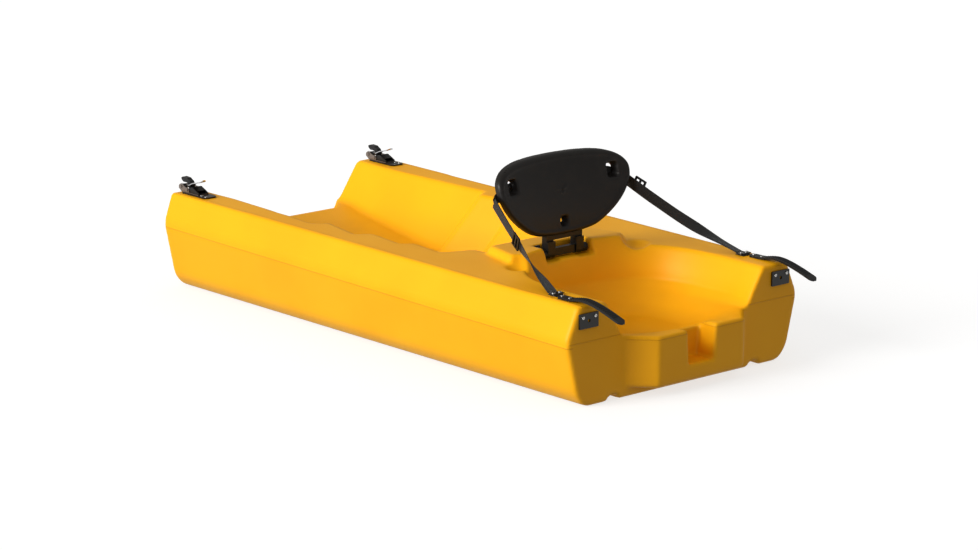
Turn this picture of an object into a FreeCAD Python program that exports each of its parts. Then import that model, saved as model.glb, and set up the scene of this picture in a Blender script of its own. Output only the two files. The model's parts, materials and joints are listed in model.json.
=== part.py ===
import FreeCAD, Part
import math
import os

# Middle section of a modular sit-on-top kayak: a hollow moulded hull with a footwell, a seat well,
# a hinged backrest with two webbing straps, and the ratchets and toothed straps that join the sections.
# Frame: +X to the bow, +Y to port, +Z up, millimetres. The origin is on the flat bottom, on the centre
# line, midway between the stern and bow joint faces. "Station" means the distance from the stern face.

Vec = FreeCAD.Vector
UP = Vec(0, 0, 1)
BOW = Vec(1, 0, 0)
PORT = Vec(0, 1, 0)
SIDES = (("port", 1), ("starboard", -1))

# ---- driving dimensions: hull ----
LENGTH = 1520.0             # between the stern and bow joint faces
HALF_BEAM = 373.0           # at the knuckle, the widest line
DECK_STERN, DECK_BOW = 247.0, 237.0
KNUCKLE_STERN, KNUCKLE_BOW = 173.0, 156.0
DECK_HALF = 337.0           # deck's outer edge from the centre line
BOTTOM_HALF = 314.0         # flat bottom
BILGE_HALF, BILGE_Z = 342.0, 30.0
WALL = 4.5                  # moulded wall
DECK_EDGE_R, KNUCKLE_R, BILGE_R = 13.0, 45.0, 40.0

WALL_SLOPE = math.radians(56.0)     # inner walls, from level
TOOL_TOP = 320.0                    # cutting solids end above the deck
# footwell: station and half width at deck level, steps facing the stern are the foot braces
FOOTWELL_PLAN = ((-40, 272), (160, 264), (387, 274), (500, 283), (520, 246), (656, 274), (672, 236),
                 (797, 252), (817, 224), (926, 234), (957, 154), (1004, 150))
BRACE_LEAN, LEAN_START, LEAN_FULL = 0.33, 62.0, 420.0       # brace faces run sternwards going down
# footwell floor: station and height
FOOTWELL_FLOOR = ((-40, 147), (62, 147), (420, 95), (900, 90), (935, 100), (1004, 240))

SHELF_Z = 260.0                     # raised bridge between footwell and seat
SHELF_PLAN = ((1000, 163), (1090, 184), (1190, 212), (1215, 212))
SHELF_DRAFT = 9.0

# seat well: station and half width at four levels, from the rear wall forward
SEAT_TOP = ((1118, 62), (1128, 115), (1149, 165), (1180, 207), (1226, 244), (1290, 262), (1400, 268),
            (1520, 265), (1640, 265))
SEAT_RIM = ((1170, 52), (1180, 96), (1201, 136), (1235, 166), (1280, 187), (1340, 197), (1430, 200),
            (1520, 198), (1640, 198))
SEAT_BOWL = ((1170, 52), (1180, 96), (1201, 136), (1235, 166), (1280, 187), (1340, 197), (1430, 196),
             (1484, 170), (1506, 70))
SEAT_FLOOR = ((1216, 38), (1224, 68), (1243, 96), (1272, 118), (1310, 132), (1350, 138), (1400, 134),
              (1436, 108), (1450, 44))
SEAT_FLOOR_Z = 95.0

TONGUE_Z = 147.0                    # top of the bow tongue
TONGUE_BOTTOM = 22.0
TONGUE_REACH = 55.0                 # beyond the bow joint face
TONGUE_HALF, TONGUE_ROOT_HALF = 137.0, 198.0
TONGUE_EDGE_R = 14.0
NOTCH_HALF_TOP, NOTCH_HALF_BOTTOM = 48.0, 40.0
NOTCH_DEPTH = 57.0
NOTCH_FLOOR = 62.0
JOINT_CLEARANCE = 3.0               # socket and key against the next section's tongue and notch
CHANNEL_HALF_TOP, CHANNEL_HALF_FOOT = 13.0, 23.0
CHANNEL_Y, CHANNEL_DEPTH = 228.0, 14.0
SCOOP_STATION, SCOOP_Y, SCOOP_Z, SCOOP_R = 1158.0, 190.0, 264.0, 39.0

# ---- driving dimensions: backrest ----
PIVOT_X, PIVOT_Z = 341.0, 240.0
RIM_SAMPLES = 48
SHELL_X, SHELL_FOOT_Z = 349.0, 280.0        # front face at the foot of the shell
SHELL_LEAN = 0.0011                         # the face leans back with the square of its height
SHELL_DISH = 0.00054                        # and wraps forward with the square of its half width
SHELL_T, SHELL_DEPTH = 5.0, 20.0            # panel, and the rim and collars behind it
SHELL_RIM, SHELL_COLLAR = 4.5, 4.0
SHELL_OUTLINE = ((0, 474), (90, 471), (146, 462), (182, 447), (201, 427), (206, 404), (199, 379),
                 (182, 353), (157, 328), (128, 307), (96, 291), (52, 283), (0, 281))
SHELL_SLOT_Y, SHELL_SLOT_Z, SHELL_SLOT_W, SHELL_SLOT_H = 161.0, 416.0, 34.0, 38.0
SHELL_HOLE_Z, SHELL_HOLE_W, SHELL_HOLE_H = 313.0, 26.0, 27.0
YOKE_LEG_IN, YOKE_LEG_OUT = 34.0, 58.0
LEG_GAP = 0.3
YOKE_R = 11.0                               # rounded foot about the pivot
YOKE_TOP = 326.0
YOKE_SCREW_L = 17.5
YOKE_BAR_LOW, YOKE_BAR_HIGH = 233.0, 252.0
LUG_IN, LUG_OUT = 59.0, 72.0
ROD_R, ROD_HALF = 4.0, 73.0
GROOVE_IN, GROOVE_OUT = 30.0, 77.0
GROOVE_X, GROOVE_FLOOR, POCKET_FLOOR = 319.0, 225.5, 228.5
LUG_ARM_HALF, LUG_FLANGE_T, LUG_TOP, LUG_SCREW_Z = 6.0, 5.0, 259.0, 252.5
ADJUSTER_SHARE_STARBOARD, ADJUSTER_SHARE_PORT = 0.42, 0.08
STRAP_ANCHOR_STATION, STRAP_ANCHOR_Y = 1408.0, 303.0
STRAP_W, STRAP_T = 25.0, 2.0

# ---- driving dimensions: section joint hardware ----
JOINT_Y = 310.0                             # end plates, toothed straps and ratchets
PLATE_W, PLATE_H, PLATE_T, PLATE_Z = 58.0, 35.0, 4.0, 203.0
PLATE_HOLE_R, PLATE_SCREW_Y, PLATE_SCREW_Z = 4.0, 19.0, 9.0
LADDER_W, LADDER_T = 24.0, 4.4
LADDER_PITCH, LADDER_TOOTH = 7.0, 1.6
LADDER_SCREWS = (1434.0, 1460.0)
LADDER_LIFT = 0.2                           # gap left by the moulding's grain below the strap
# toothed strap's middle line: station and height
LADDER_LINE = ((1424, 0), (1446, 0), (1468, 1), (1500, 6.5), (1530, 5.5), (1562, -1), (1598, -11),
               (1634, -23))
RATCHET_STERN, RATCHET_BOW, RATCHET_BASE_W, RATCHET_BASE_T = 21.0, 123.0, 40.0, 3.0
RATCHET_CHAMFER = 6.0
RATCHET_SCREWS = ((36, 0), (98, 11), (115, 11))     # station, and distance outboard of the middle
CHEEK_Y, CHEEK_T = 15.0, 2.0
CHEEK_OUTLINE = ((21, 0), (9, 8), (9, 15), (14, 19.5), (24, 19.5), (36, 14), (46, 13), (51, 8), (51, 0))
FRAME_BOW = 90.0
GUIDE_OUTLINE = ((50, 0), (50, 9), (56, 14), (63, 15), (90, 3), (90, 0))
PASSAGE_HALF, PASSAGE_LOW, PASSAGE_HIGH = 12.4, 0.8, 7.4     # the strap's way through the guide
HUB_STATION, HUB_UP, HUB_R = 18.0, 13.0, 3.0
RELEASE_STATION, RELEASE_UP, RELEASE_R = 42.0, 8.5, 2.0
PIN_GAP = 0.06
PIN_HEAD_T, HUB_HEAD_R, RELEASE_HEAD_R = 1.4, 4.3, 5.0
LEVER_HALF, LEVER_T, LEVER_WINDOW_HALF, LEVER_WINDOW_END = 10.5, 2.4, 7.5, 38.0
# lever's upper face: distance from the hub and height above it
LEVER_LINE = ((-8, 6.5), (4, 3.5), (16, 3.5), (28, 8.5), (40, 14), (54, 17), (66, 20), (76, 26))
GEAR_R, ARM_R, FLUTE_R, FLUTES = 6.0, 6.5, 1.2, 10
# release lever about its pin: pawl below, thumb pad above reaching back over the hub
RELEASE_HALF = 6.5
RELEASE_OUTLINE = ((4.2, -1), (3.4, 3.5), (3.0, 15), (0, 20), (-7, 23), (-12, 26.5), (-30, 27.5), (-36, 25),
                   (-35, 20), (-28, 15), (-12, 15), (-5, 11), (-4.6, 1.5), (-4.6, -3), (-1, -4.6), (3, -3.8))

SCREW_R, SCREW_HEAD_R, SCREW_HEAD_T, SCREW_L = 2.0, 4.2, 2.4, 13.0
INSERT_R, INSERT_L = 4.0, 11.0


# ---- small helpers ----
def x_at(station):
    """X of a distance from the stern joint face."""
    return station - LENGTH / 2


def along(x, stern, bow):
    """A height that runs straight from the stern face to the bow face."""
    return stern + (bow - stern) * (x + LENGTH / 2) / LENGTH


def deck_z(x):
    return along(x, DECK_STERN, DECK_BOW)


def table(value, rows):
    """Straight-line reading of a table of (position, value) rows."""
    for (a, va), (b, vb) in zip(rows, rows[1:]):
        if value <= b:
            return va + (vb - va) * (value - a) / (b - a)
    return rows[-1][1]


def ring(points):
    """A closed straight-edged wire."""
    return Part.makePolygon(list(points) + [points[0]])


def prism(points, direction):
    """A flat outline pushed along a vector."""
    return Part.Face(ring(points)).extrude(direction)


def box(x0, x1, y0, y1, z0, z1):
    return Part.makeBox(x1 - x0, y1 - y0, z1 - z0, Vec(x0, y0, z0))


def rod(radius, start, direction, length):
    return Part.makeCylinder(radius, length, start, direction)


def tube(outer, inner, start, direction, length):
    return rod(outer, start, direction, length).cut(rod(inner, start, direction, length))


def mirrored(points):
    """Both halves of a plan outline: starboard from the first row on, then port back again."""
    starboard = [(s, -y) for s, y in points]
    port = [(s, y) for s, y in reversed(points)]
    return starboard + port


def level(points, z, grow=0.0):
    """A closed plan outline (station, half width) at one height, grown sideways."""
    wire = ring([Vec(x_at(s), y, z) for s, y in mirrored(points)])
    return wire.makeOffset2D(grow, 2) if grow else wire


def screw(point, direction, length=SCREW_L):
    """Pan-head screw whose head rests on a surface at the point and whose shank runs against direction."""
    head = rod(SCREW_HEAD_R, point, direction, SCREW_HEAD_T)
    rim = [e for e in head.Edges if e.Closed and (e.CenterOfMass - point).dot(direction) > SCREW_HEAD_T / 2]
    head = head.makeFillet(SCREW_HEAD_T * 0.6, rim)
    socket = rod(SCREW_R * 0.7, point + direction * (SCREW_HEAD_T * 0.45), direction, SCREW_HEAD_T)
    shank = rod(SCREW_R, point - direction * length, direction, length + 0.5)
    return head.cut(socket).fuse(shank).removeSplitter()


def insert(point, direction):
    """Threaded brass insert moulded into the wall below a screw."""
    return tube(INSERT_R, SCREW_R, point - direction * INSERT_L, direction, INSERT_L)


# ---- hull ----
def hull_block(inset):
    """The plain outer body: bottom, bilges, topsides and deck, with every face set in by inset."""
    wires = []
    for x in (-LENGTH / 2 + inset, LENGTH / 2 - inset):
        half = [(BOTTOM_HALF, 0.0), (BILGE_HALF, BILGE_Z),
                (HALF_BEAM, along(x, KNUCKLE_STERN, KNUCKLE_BOW)), (DECK_HALF, deck_z(x))]
        outline = half + [(-y, z) for y, z in reversed(half)]
        wire = ring([Vec(x, y, z) for y, z in outline])
        wires.append(wire.makeOffset2D(-inset, 2) if inset else wire)
    block = Part.makeLoft(wires, True, True)
    if inset:
        return block
    for radius, low, high in ((BILGE_R, 5, 60), (KNUCKLE_R, 120, 200), (DECK_EDGE_R, 230, 260)):
        edges = [e for e in block.Edges if e.BoundBox.XLength > LENGTH / 2
                 and low < e.CenterOfMass.z < high]
        block = block.makeFillet(radius, edges)
    return block


def footwell(grow):
    """Cutting solid of the footwell: sections across the hull, joined by straight faces."""
    stations = sorted({s for s, _ in FOOTWELL_PLAN} | {s for s, _ in FOOTWELL_FLOOR})
    run = 1 / math.tan(WALL_SLOPE)
    side = grow / math.sin(WALL_SLOPE)
    wires = []
    for s in stations:
        x = x_at(s) + (grow if s > 0 else 0)
        deck = deck_z(x_at(s))
        lean = BRACE_LEAN * min(1.0, max(0.0, (s - LEAN_START) / (LEAN_FULL - LEAN_START)))
        floor = table(s - lean * (deck - table(s, FOOTWELL_FLOOR)), FOOTWELL_FLOOR)
        half_deck = table(s, FOOTWELL_PLAN) + side
        half_floor = half_deck - (deck - floor) * run
        half_top = half_deck + (TOOL_TOP - deck) * run
        rows = [(half_floor, floor - grow), (half_deck, deck), (half_top, TOOL_TOP)]
        corners = [Vec(x - lean * (deck - z), y, z) for y, z in rows]
        wires.append(ring(corners + [Vec(v.x, -v.y, v.z) for v in reversed(corners)]))
    return Part.makeLoft(wires, True, True)


def seat_upper(grow):
    """Seat well above the tongue's top; it runs out over the tongue to the bow."""
    deck = SHELF_Z
    rise = (TOOL_TOP - deck) / (deck - TONGUE_Z)
    above = [(s + (s - r) * rise * (s < 1300), y + (y - q) * rise)
             for (s, y), (r, q) in zip(SEAT_TOP, SEAT_RIM)]
    low = level(SEAT_RIM, TONGUE_Z - grow, grow)
    mid = level(SEAT_TOP, deck, grow)
    return Part.makeLoft([low, mid, level(above, TOOL_TOP, grow)], True, True)


def seat_lower(grow):
    """Seat bowl below the tongue's top."""
    low = level(SEAT_FLOOR, SEAT_FLOOR_Z - grow, grow)
    return Part.makeLoft([low, level(SEAT_BOWL, TONGUE_Z + 1 - grow, grow)], True, True)


def shelf(inset):
    """Raised bridge between footwell and seat well, narrower at its top."""
    top = [(s + SHELF_DRAFT, y - SHELF_DRAFT) for s, y in SHELF_PLAN]
    wires = [level(SHELF_PLAN, SHELF_Z - 40, -inset), level(top, SHELF_Z - inset, -inset)]
    return Part.makeLoft(wires, True, True)


def tongue_plan(clearance, root, depth):
    """Plan of the tongue from a root plane: straight front, corners cut at 45 degrees."""
    front = root + depth
    corner = TONGUE_ROOT_HALF - TONGUE_HALF
    half = [(root, TONGUE_ROOT_HALF + clearance), (front - corner, TONGUE_ROOT_HALF + clearance),
            (front, TONGUE_HALF + clearance)]
    return half + [(x, -y) for x, y in reversed(half)]


def tongue(inset):
    """Bow tongue that enters the next section's socket."""
    root = LENGTH / 2 - 60
    plan = tongue_plan(-inset, root, 60 + TONGUE_REACH - inset)
    low = TONGUE_BOTTOM + inset
    body = prism([Vec(x, y, low) for x, y in plan], UP * (TONGUE_Z - inset - low))
    if inset:
        return body
    corners = [e for e in body.Edges if e.BoundBox.ZLength > 50 and e.CenterOfMass.x > LENGTH / 2 - 10]
    body = body.makeFillet(TONGUE_EDGE_R, corners)
    lips = [e for e in body.Edges if e.BoundBox.ZLength < 1 and e.CenterOfMass.x > LENGTH / 2 + 20]
    return body.makeFillet(TONGUE_EDGE_R * 0.5, lips)


def notch(grow):
    """Open slot in the middle of the tongue's front."""
    back = LENGTH / 2 + TONGUE_REACH - NOTCH_DEPTH - grow
    wires = []
    for z, half in ((NOTCH_FLOOR - grow, NOTCH_HALF_BOTTOM), (TOOL_TOP, NOTCH_HALF_TOP + 8)):
        half = half + grow
        wires.append(ring([Vec(back, -half, z), Vec(back + 200, -half, z), Vec(back + 200, half, z),
                           Vec(back, half, z)]))
    return Part.makeLoft(wires, True, True)


def socket(grow):
    """Stern recess that takes the next section's tongue."""
    depth = TONGUE_REACH + JOINT_CLEARANCE + grow
    plan = tongue_plan(JOINT_CLEARANCE + grow, -LENGTH / 2, depth)
    body = prism([Vec(x, y, -20) for x, y in plan], UP * TOOL_TOP)
    mouth = TONGUE_ROOT_HALF + JOINT_CLEARANCE + grow
    return body.fuse(box(-LENGTH / 2 - 60, -LENGTH / 2, -mouth, mouth, -20, TOOL_TOP - 20))


def key(inset):
    """Block in the middle of the socket that fills the next section's notch."""
    root = -LENGTH / 2 + TONGUE_REACH + JOINT_CLEARANCE
    tip = root + 2 * JOINT_CLEARANCE - NOTCH_DEPTH + inset
    half = NOTCH_HALF_BOTTOM - JOINT_CLEARANCE - inset
    low = NOTCH_FLOOR + JOINT_CLEARANCE + inset
    side = [Vec(root + 30, -half, low), Vec(tip, -half, low), Vec(tip, -half, 129 - inset),
            Vec(root, -half, 138 - inset), Vec(root + 30, -half, 138 - inset)]
    return prism(side, PORT * (2 * half))


def channels(grow):
    """Two shallow channels along the bottom."""
    cuts = []
    for _, side in SIDES:
        outline = [(-CHANNEL_HALF_FOOT - grow, -5), (-CHANNEL_HALF_TOP - grow, CHANNEL_DEPTH + grow),
                   (CHANNEL_HALF_TOP + grow, CHANNEL_DEPTH + grow), (CHANNEL_HALF_FOOT + grow, -5)]
        points = [Vec(-LENGTH, side * CHANNEL_Y + y, z) for y, z in outline]
        cuts.append(prism(points, BOW * (2 * LENGTH)))
    return cuts


def backrest_grooves(grow):
    """Two upright grooves in the seat's rear wall for the backrest's feet, and a pocket between them."""
    end = x_at(SEAT_RIM[0][0]) + 20
    cuts = [box(GROOVE_X - grow, end, -GROOVE_OUT, GROOVE_OUT, POCKET_FLOOR - grow, TOOL_TOP)]
    for _, side in SIDES:
        y0, y1 = sorted((side * GROOVE_IN, side * GROOVE_OUT))
        cuts.append(box(GROOVE_X - grow, end, y0 - grow, y1 + grow, GROOVE_FLOOR - grow, TOOL_TOP))
    return cuts


def scoops(grow):
    """Hand scoops at the rear corners of the seat."""
    return [Part.makeSphere(SCOOP_R + grow, Vec(x_at(SCOOP_STATION), side * SCOOP_Y, SCOOP_Z))
            for _, side in SIDES]


def hull_body(inset):
    """The hull's solid form; inset 0 is the outside, inset WALL is the hollow."""
    body = hull_block(inset).fuse([shelf(inset), tongue(inset)])
    cuts = [footwell(inset), seat_upper(inset), seat_lower(inset), notch(inset), socket(inset)]
    cuts += channels(inset) + backrest_grooves(inset) + scoops(inset)
    body = body.cut(cuts)
    return body.fuse(key(inset)).removeSplitter()


# ---- places of the screws: (point on the surface, direction out of the hull) ----
def deck_point(station, y):
    x = x_at(station)
    return Vec(x, y, deck_z(x))


def ratchet_screw_points(side):
    z = DECK_STERN + RATCHET_BASE_T
    return [Vec(x_at(s), side * (JOINT_Y + out), z) for s, out in RATCHET_SCREWS]


def plate_screw_points(side):
    x = LENGTH / 2 + PLATE_T
    return [Vec(x, side * JOINT_Y + dy, PLATE_Z + PLATE_SCREW_Z) for dy in (-PLATE_SCREW_Y, PLATE_SCREW_Y)]


def ladder_screw_points(side):
    top = deck_point(LADDER_LINE[0][0], side * JOINT_Y) + UP * (LADDER_T + LADDER_LIFT)
    return [top + BOW * (s - LADDER_LINE[0][0]) for s in LADDER_SCREWS]


def anchor_screw_points(side):
    return [deck_point(STRAP_ANCHOR_STATION, side * STRAP_ANCHOR_Y + dy) + UP * 6.0 for dy in (-9.5, 9.5)]


def lug_screw_points(side):
    return [Vec(GROOVE_X + LUG_FLANGE_T, side * (LUG_IN + LUG_OUT) / 2, LUG_SCREW_Z)]


def drilled(shape, points, direction, radius, depth):
    """The shape with a straight hole through it at each point."""
    return shape.cut([rod(radius, p - direction * depth, direction, 2 * depth) for p in points])


# ---- backrest ----
def shell_x(y, z):
    """Front face of the backrest: leans back with height, wraps forward with half width."""
    return SHELL_X - SHELL_LEAN * (z - SHELL_FOOT_Z) ** 2 + SHELL_DISH * y * y


def shell_surface(y_half, y_step, z_low, z_high, z_step, setback):
    """Sheet that follows the backrest's front face, set back behind it."""
    rows = [[Vec(shell_x(y, z) - setback, y, z) for y in range(-y_half, y_half + 1, y_step)]
            for z in range(z_low, z_high + 1, z_step)]
    surface = Part.BSplineSurface()
    surface.interpolate(rows)
    return surface.toShape()


def shell_blank(inset):
    """The backrest's outline, set in, as a long bar across its thickness."""
    half = list(SHELL_OUTLINE)
    curve = Part.BSplineCurve()
    curve.interpolate(Points=[Vec(0, y, z) for y, z in half] + [Vec(0, -y, z) for y, z in reversed(half[1:-1])],
                      PeriodicFlag=True)
    edge = curve.toShape()
    start, end = edge.ParameterRange
    points = []
    for i in range(RIM_SAMPLES):
        t = start + (end - start) * i / RIM_SAMPLES
        spot, way = edge.valueAt(t), edge.tangentAt(t)
        inward = BOW.cross(way) * -1
        points.append(spot + inward * inset + BOW * 200)
    rim = Part.BSplineCurve()
    rim.interpolate(Points=points, PeriodicFlag=True)
    return Part.Face(Part.Wire(rim.toShape())).extrude(BOW * 300)


def window(y, z, width, height, grow=0.0):
    """Square tunnel through the backrest."""
    return box(200, 500, y - width / 2 - grow, y + width / 2 + grow, z - height / 2 - grow, z + height / 2 + grow)


def shell_windows(grow=0.0):
    slots = [window(side * SHELL_SLOT_Y, SHELL_SLOT_Z, SHELL_SLOT_W, SHELL_SLOT_H, grow) for _, side in SIDES]
    return slots + [window(0, SHELL_HOLE_Z, SHELL_HOLE_W, SHELL_HOLE_H, grow)]


def backrest_shell():
    """Dished panel with a deep rim and a collar round each window, notched for the yoke's legs."""
    slab = shell_surface(240, 60, 260, 500, 40, 0).extrude(BOW * -SHELL_DEPTH)
    behind = shell_surface(240, 60, 260, 500, 40, SHELL_T).extrude(BOW * (-SHELL_DEPTH - 10))
    body = slab.common(shell_blank(0.0))
    hollow = behind.common(shell_blank(SHELL_RIM)).cut(shell_windows(SHELL_COLLAR))
    reach = YOKE_LEG_OUT + LEG_GAP
    foot = box(200, 500, -reach, reach, YOKE_TOP - 70, SHELL_HOLE_Z - SHELL_HOLE_H / 2 - SHELL_COLLAR)
    body = body.cut(hollow).cut(behind.common(foot)).cut(shell_windows())
    return drilled(body, yoke_screw_points(), BOW, SCREW_R, YOKE_SCREW_L)


def yoke_screw_points():
    middle = (YOKE_LEG_IN + YOKE_LEG_OUT) / 2
    return [Vec(PIVOT_X - YOKE_R, y, z) for z in (296.0, 316.0) for y in (-middle, middle)]


def backrest_yoke():
    """Two legs, a bar between them and a top plate bolted behind the shell."""
    back = PIVOT_X - YOKE_R
    front = PIVOT_X + YOKE_R
    parts = []
    for _, side in SIDES:
        y0, y1 = sorted((side * YOKE_LEG_IN, side * YOKE_LEG_OUT))
        parts.append(rod(YOKE_R, Vec(PIVOT_X, y0, PIVOT_Z), PORT, y1 - y0))
        parts.append(box(back, front, y0, y1, PIVOT_Z, YOKE_TOP))
    parts.append(box(back + 5, front - 4, -YOKE_LEG_IN, YOKE_LEG_IN, YOKE_BAR_LOW, YOKE_BAR_HIGH))
    parts.append(box(back, front, -YOKE_LEG_IN, YOKE_LEG_IN, 272.0, 288.0))
    body = parts[0].fuse(parts[1:])
    body = body.cut(shell_surface(120, 40, 270, 360, 30, SHELL_T).extrude(BOW * 60))
    bore = rod(ROD_R + PIN_GAP, Vec(PIVOT_X, -ROD_HALF, PIVOT_Z), PORT, 2 * ROD_HALF)
    body = drilled(body, yoke_screw_points(), BOW, SCREW_R, YOKE_SCREW_L)
    return body.cut(bore).removeSplitter()


def hinge_lug(side):
    """Foot screwed to the back of a groove, holding one end of the pivot rod."""
    y0, y1 = sorted((side * LUG_IN, side * LUG_OUT))
    body = rod(YOKE_R, Vec(PIVOT_X, y0, PIVOT_Z), PORT, y1 - y0)
    body = body.fuse(box(GROOVE_X, PIVOT_X, y0, y1, PIVOT_Z - LUG_ARM_HALF, PIVOT_Z + LUG_ARM_HALF))
    body = body.fuse(box(GROOVE_X, GROOVE_X + LUG_FLANGE_T, y0, y1, PIVOT_Z - YOKE_R, LUG_TOP))
    bore = rod(ROD_R, Vec(PIVOT_X, -ROD_HALF, PIVOT_Z), PORT, 2 * ROD_HALF)
    body = drilled(body, lug_screw_points(side), BOW, SCREW_R, 30)
    return body.cut(bore).removeSplitter()


# ---- webbing ----
def ribbon(centres, widths, twists):
    """A flat strap through centre points; twist turns its width from upright (0) to level (90 degrees)."""
    wires = []
    for i, centre in enumerate(centres):
        ahead = centres[min(i + 1, len(centres) - 1)] - centres[max(i - 1, 0)]
        ahead.normalize()
        level_way = ahead.cross(UP)
        level_way.normalize()
        upright = level_way.cross(ahead)
        turn = math.radians(twists[i])
        wide = upright * math.cos(turn) + level_way * math.sin(turn)
        thick = ahead.cross(wide)
        a, b = wide * (widths[i] / 2), thick * (STRAP_T / 2)
        wires.append(ring([centre - a - b, centre + a - b, centre + a + b, centre - a + b]))
    return Part.makeLoft(wires, True, True)


def strap_line(side):
    """Centre points of a seat strap from the backrest's edge down to its anchor."""
    top = Vec(338, side * 219, 382)
    foot = Vec(x_at(STRAP_ANCHOR_STATION) - 14, side * STRAP_ANCHOR_Y, deck_z(x_at(STRAP_ANCHOR_STATION)) + 6)
    return top, foot


def seat_strap(side):
    top, foot = strap_line(side)
    centres = [top + (foot - top) * t for t in (0.0, 0.45, 0.6, 0.75, 0.9, 1.0)]
    return ribbon(centres, [STRAP_W, STRAP_W, 22, 20, 22, STRAP_W], [0, 0, 25, 60, 85, 90])


def strap_loop(side):
    """Webbing behind the shell, from its slot round to the outer edge."""
    behind = SHELL_DEPTH + 4.6
    centres = [Vec(shell_x(y, z) - behind, side * y, z) for y, z in ((134, 412), (162, 409), (188, 400))]
    centres += [Vec(327, side * 204, 391), Vec(332, side * 213.5, 385)]
    return ribbon(centres, [STRAP_W] * len(centres), [0] * len(centres))


def strap_buckle(side, share):
    """Ladder-lock adjuster on the webbing at a share of its length."""
    top, foot = strap_line(side)
    centre = top + (foot - top) * share
    ahead = foot - top
    ahead.normalize()
    frame = box(-16, 16, 3.6, 7.4, -17, 17)
    frame = frame.cut(box(-11, -2.5, 0, 10, -12.8, 12.8)).cut(box(2.5, 11, 0, 10, -12.8, 12.8))
    frame = frame.makeFillet(1.2, [e for e in frame.Edges if e.BoundBox.YLength > 3])
    heading = FreeCAD.Rotation(Vec(1, 0, 0), ahead)
    frame.Placement = FreeCAD.Placement(centre, heading)
    if side < 0:
        frame = frame.mirror(centre, ahead.cross(UP).normalize())
    return frame


def strap_anchor(side):
    """Steel plate that clamps the folded strap end to the deck, with the fold below it."""
    p = deck_point(STRAP_ANCHOR_STATION, side * STRAP_ANCHOR_Y)
    plate = box(p.x - 8, p.x + 8, p.y - 17, p.y + 17, p.z + 4.4, p.z + 6.0)
    return drilled(plate, anchor_screw_points(side), UP, SCREW_R, 20)


def strap_fold(side):
    p = deck_point(STRAP_ANCHOR_STATION, side * STRAP_ANCHOR_Y)
    pad = box(p.x - 13, p.x + 9, p.y - 14, p.y + 14, p.z + 0.2, p.z + 4.4)
    return drilled(pad, anchor_screw_points(side), UP, SCREW_R, 20)


# ---- section joint hardware ----
def end_plate(side):
    plate = box(LENGTH / 2, LENGTH / 2 + PLATE_T, side * JOINT_Y - PLATE_W / 2, side * JOINT_Y + PLATE_W / 2,
                PLATE_Z - PLATE_H / 2, PLATE_Z + PLATE_H / 2)
    plate = plate.makeFillet(2.0, [e for e in plate.Edges if e.BoundBox.XLength > 3])
    plate = drilled(plate, plate_screw_points(side), BOW, SCREW_R, 20)
    return plate.cut(rod(PLATE_HOLE_R, Vec(LENGTH / 2 - 1, side * JOINT_Y, PLATE_Z), BOW, PLATE_T + 2))


def ladder_strap(side):
    """Toothed strap: two screws hold its root, its free end runs out past the bow face."""
    base = deck_z(x_at(LADDER_LINE[0][0])) + LADDER_LIFT
    middle = [Vec(x_at(s), side * JOINT_Y, base + LADDER_T / 2 + dz) for s, dz in LADDER_LINE]
    spline = Part.BSplineCurve()
    spline.interpolate(middle)
    line = spline.toShape()
    steps = [line.getParameterByLength(line.Length * i / 24) for i in range(25)]
    spots = [(line.valueAt(t), line.tangentAt(t)) for t in steps]
    normals = [PORT.cross(tan) * -1 for _, tan in spots]
    half = Vec(0, LADDER_W / 2, 0)
    edges = []
    for offset in (1, -1):
        points = [p + n * (offset * LADDER_T / 2) - half for (p, _), n in zip(spots, normals)]
        curve = Part.BSplineCurve()
        curve.interpolate(points)
        edges.append((curve.toShape(), points[0], points[-1]))
    wire = Part.Wire([edges[0][0], Part.makeLine(edges[0][2], edges[1][2]), edges[1][0],
                      Part.makeLine(edges[1][1], edges[0][1])])
    body = Part.Face(wire).extrude(PORT * LADDER_W)
    tip = middle[-1]
    ends = [Part.makeCylinder(LADDER_W / 2, 120, Vec(tip.x - LADDER_W / 2, tip.y, 180)),
            Part.makeCylinder(LADDER_W / 2, 120, Vec(middle[0].x + LADDER_W / 2, tip.y, 180)),
            box(middle[0].x + LADDER_W / 2, tip.x - LADDER_W / 2, tip.y - LADDER_W / 2, tip.y + LADDER_W / 2,
                180, 300)]
    body = body.common(ends[0].fuse(ends[1:]))
    teeth = []
    count = int((line.Length - 62 - LADDER_W / 2) / LADDER_PITCH)
    for i in range(count):
        t = line.getParameterByLength(54 + i * LADDER_PITCH)
        p, tan = line.valueAt(t), line.tangentAt(t)
        up = PORT.cross(tan) * -1
        foot = p + up * (LADDER_T / 2 - 0.4) - Vec(0, LADDER_W / 2 - 5, 0)
        profile = [foot, foot + tan * (LADDER_PITCH * 0.55), foot + up * (LADDER_TOOTH + 0.4)]
        teeth.append(prism(profile, PORT * (LADDER_W - 10)))
    body = body.fuse(teeth)
    seats = [rod(SCREW_HEAD_R + 0.3, p, UP, 10) for p in ladder_screw_points(side)]
    return drilled(body.cut(seats), ladder_screw_points(side), UP, SCREW_R, 30)


def hub(side):
    return Vec(x_at(HUB_STATION), side * JOINT_Y, DECK_STERN + RATCHET_BASE_T + HUB_UP)


def release_pivot(side):
    return Vec(x_at(RELEASE_STATION), side * JOINT_Y, DECK_STERN + RATCHET_BASE_T + RELEASE_UP)


def ratchet_base(side):
    """Black base plate screwed to the deck."""
    y = side * JOINT_Y
    stern, bow = x_at(RATCHET_STERN), x_at(RATCHET_BOW)
    half, cut = RATCHET_BASE_W / 2, RATCHET_CHAMFER
    outline = [(stern, half - cut), (stern + cut, half), (bow - cut, half), (bow, half - cut)]
    outline += [(x, -dy) for x, dy in reversed(outline)]
    plate = prism([Vec(x, y + dy, DECK_STERN) for x, dy in outline], UP * RATCHET_BASE_T)
    return drilled(plate, ratchet_screw_points(side), UP, SCREW_R, 20)


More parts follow.
